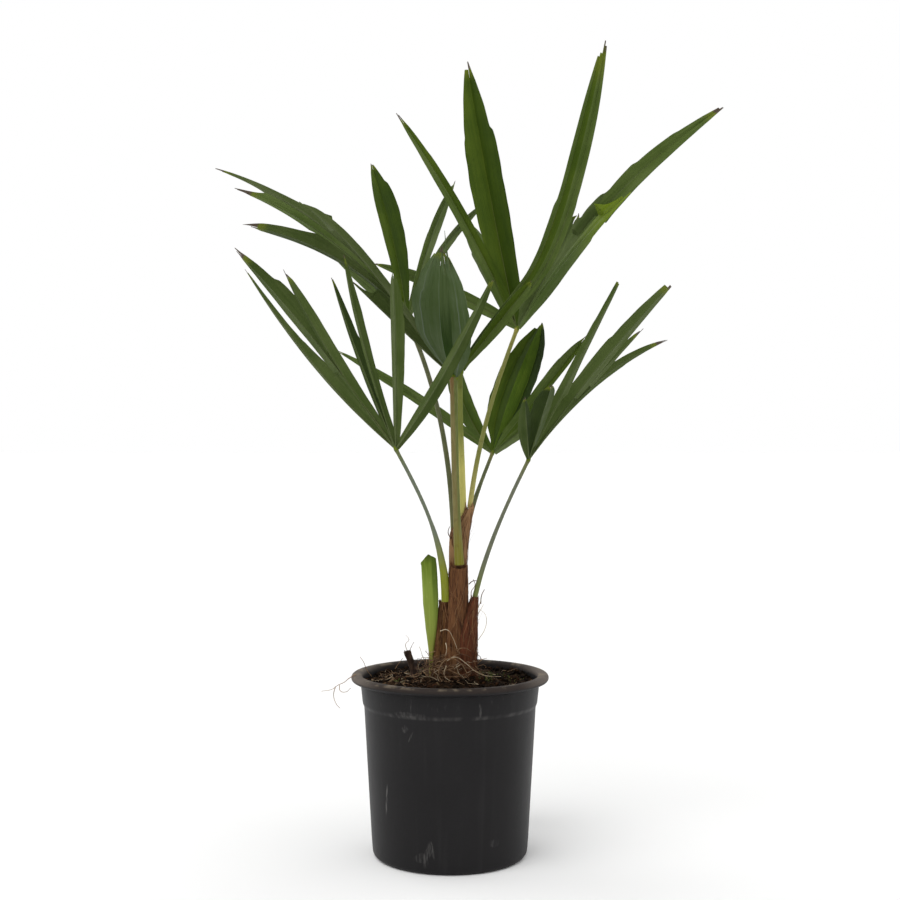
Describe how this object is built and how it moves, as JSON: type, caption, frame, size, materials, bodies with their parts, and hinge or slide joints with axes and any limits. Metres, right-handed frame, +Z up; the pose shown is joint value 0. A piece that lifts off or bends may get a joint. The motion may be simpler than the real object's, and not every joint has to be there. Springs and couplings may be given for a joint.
{
  "type": "windmill palm in a nursery pot",
  "caption": "Young windmill palm with fan leaves on thin stalks from a short fibrous trunk, standing in a round black nursery pot of soil.",
  "frame": {"origin": "centre of the pot's flat underside, which stands on the floor", "axes": "+Z up along the pot's axis, -Y towards the side that the picture shows, +X to the right of that view"},
  "size_m": [0.5428, 0.4299, 0.8782],
  "materials": {
    "pot_plastic": "satin",
    "potting_soil": "matte",
    "trunk_fibre": "matte",
    "green_stalk": "satin",
    "leaf_blade": "satin"
  },
  "bodies": {
    "root": {"pot": "pot_plastic", "soil": "potting_soil", "trunk": "trunk_fibre", "right_sheath": "trunk_fibre", "front_sheath": "trunk_fibre", "left_sheath": "trunk_fibre", "cut_leaf_base": "green_stalk", "stalk_a": "green_stalk", "stalk_b": "green_stalk", "stalk_c": "green_stalk", "stalk_d": "green_stalk", "stalk_e": "green_stalk", "stalk_f": "green_stalk", "stalk_g": "green_stalk", "blade_a": "leaf_blade", "blade_b": "leaf_blade", "blade_c": "leaf_blade", "blade_d": "leaf_blade", "blade_e": "leaf_blade", "blade_f": "leaf_blade", "blade_g": "leaf_blade"}
  },
  "joints": []
}
